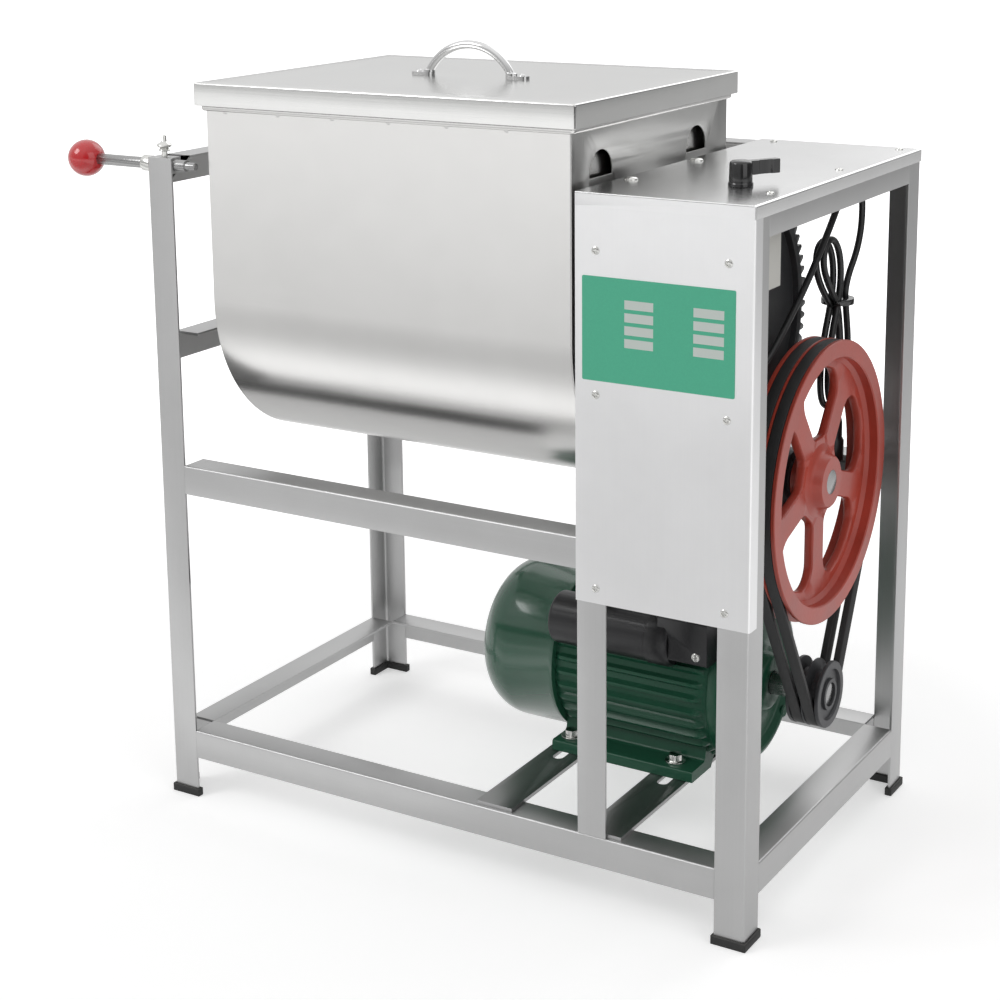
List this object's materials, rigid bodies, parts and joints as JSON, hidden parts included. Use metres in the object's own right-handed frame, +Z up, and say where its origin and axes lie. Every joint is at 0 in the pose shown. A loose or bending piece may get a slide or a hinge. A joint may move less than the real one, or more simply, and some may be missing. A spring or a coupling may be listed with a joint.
{
  "type": "tilting bowl dough mixer",
  "caption": "Tilting dough mixer: lidded U-shaped bowl on an angle-iron frame, with a geared shaft, belt-driven pulley, foot motor, drum switch and bowl latch.",
  "frame": {"origin": "on the floor, under the middle of the bounding box of everything but the cords", "axes": "+X along the frame from the latch end to the drive end, +Y from the front (panel and switch lever) to the back, +Z up"},
  "size_m": [0.817, 0.433, 0.8385],
  "materials": {
    "frame_steel": "brushed stainless steel angle",
    "sheet_steel": "brushed stainless steel sheet",
    "bowl_steel": "satin stainless steel bowl",
    "polished_steel": "polished steel",
    "screw_steel": "bright screw heads",
    "foot_rubber": "black rubber",
    "data_plate_green": "green printed metal plate, left bare",
    "bearing_grey": "grey painted iron",
    "shaft_steel": "turned steel shaft",
    "gear_black": "black oiled iron",
    "pulley_red": "red-brown primer on cast iron",
    "pulley_dark": "dark grey iron",
    "belt_rubber": "black rubber belt",
    "motor_green": "dark green enamel",
    "cover_black": "black moulded cover",
    "switch_cream": "light grey moulding",
    "knob_black": "black plastic",
    "cable_black": "black sheathed cable",
    "ball_red": "glossy red phenolic",
    "rail_steel": "dark painted flat bar"
  },
  "bodies": {
    "frame": {"post_front_left": "frame_steel", "post_front_right": "frame_steel", "post_rear_left": "frame_steel", "post_rear_right": "frame_steel", "mid_post_front": "frame_steel", "mid_post_rear": "frame_steel", "rail_bottom_front": "frame_steel", "rail_bottom_rear": "frame_steel", "rail_bottom_left": "frame_steel", "rail_bottom_right": "frame_steel", "rail_mid_front": "frame_steel", "rail_mid_rear": "frame_steel", "rail_mid_left": "frame_steel", "rail_top_left": "frame_steel", "rail_top_right": "frame_steel", "rail_top_front": "frame_steel", "rail_top_rear": "frame_steel", "bearing_rail": "frame_steel", "counter_rail_inner": "frame_steel", "counter_rail_outer": "frame_steel", "rubber_feet": "foot_rubber", "motor_rails": "rail_steel", "front_panel": "sheet_steel", "top_plate": "sheet_steel", "data_plate": "data_plate_green", "panel_screws": "screw_steel", "plate_screws": "screw_steel", "shaft_bearings": "bearing_grey", "counter_bearings": "bearing_grey", "bearing_bolts": "screw_steel", "drive_belts": "belt_rubber", "motor_body": "motor_green", "fan_cover": "motor_green", "capacitor_cover": "cover_black", "motor_bolts": "screw_steel", "switch_body": "switch_cream", "latch_block": "frame_steel", "latch_collar": "screw_steel", "supply_lead": "cable_black", "lead_hank": "cable_black", "cable_tie": "knob_black", "lead_plug": "knob_black", "motor_lead": "cable_black"},
    "bowl": {"bowl_shell": "bowl_steel", "bowl_end_cover": "bowl_steel", "bowl_rim": "bowl_steel", "bowl_hubs": "shaft_steel"},
    "lid": {"lid_pan": "sheet_steel", "lid_handle": "polished_steel"},
    "agitator": {"mixing_shaft": "shaft_steel", "mixing_arm": "bowl_steel", "big_gear": "gear_black"},
    "countershaft": {"pinion_shaft": "shaft_steel", "big_pulley": "pulley_red"},
    "rotor": {"motor_shaft": "shaft_steel", "small_pulley": "pulley_dark"},
    "switch_lever": {"switch_knob": "knob_black"},
    "latch": {"latch_rod": "shaft_steel", "latch_ball": "ball_red"},
    "clamp": {"clamp_screw": "screw_steel"}
  },
  "joints": [
    {"name": "bowl_tilt", "type": "hinge", "parent": "frame", "child": "bowl", "pos_m": [-0.008, -0.018, 0.569], "axis": [1, 0, 0], "range_deg": [0, 90]},
    {"name": "lid_lift", "type": "slide", "parent": "bowl", "child": "lid", "axis": [0, 0, 1], "range_m": [0, 0.08]},
    {"name": "agitator_spin", "type": "hinge", "parent": "frame", "child": "agitator", "pos_m": [-0.008, -0.018, 0.569], "axis": [1, 0, 0], "continuous": true},
    {"name": "countershaft_spin", "type": "hinge", "parent": "frame", "child": "countershaft", "pos_m": [0.306, 0.02293, 0.404], "axis": [1, 0, 0], "continuous": true},
    {"name": "motor_spin", "type": "hinge", "parent": "frame", "child": "rotor", "pos_m": [0.346, 0.032, 0.172], "axis": [1, 0, 0], "continuous": true},
    {"name": "switch_turn", "type": "hinge", "parent": "frame", "child": "switch_lever", "pos_m": [0.3475, -0.11, 0.733], "axis": [0, 0, 1], "range_deg": [-45, 45]},
    {"name": "latch_slide", "type": "slide", "parent": "frame", "child": "latch", "axis": [-1, 0, 0], "range_m": [0, 0.02]},
    {"name": "clamp_turn", "type": "hinge", "parent": "frame", "child": "clamp", "pos_m": [-0.278, -0.1965, 0.73], "axis": [0, 0, 1], "range_deg": [0, 180]}
  ],
  "couplings": [
    {"joint": "countershaft_spin", "follows": "agitator_spin", "ratio": -4},
    {"joint": "motor_spin", "follows": "agitator_spin", "ratio": -17.858}
  ]
}
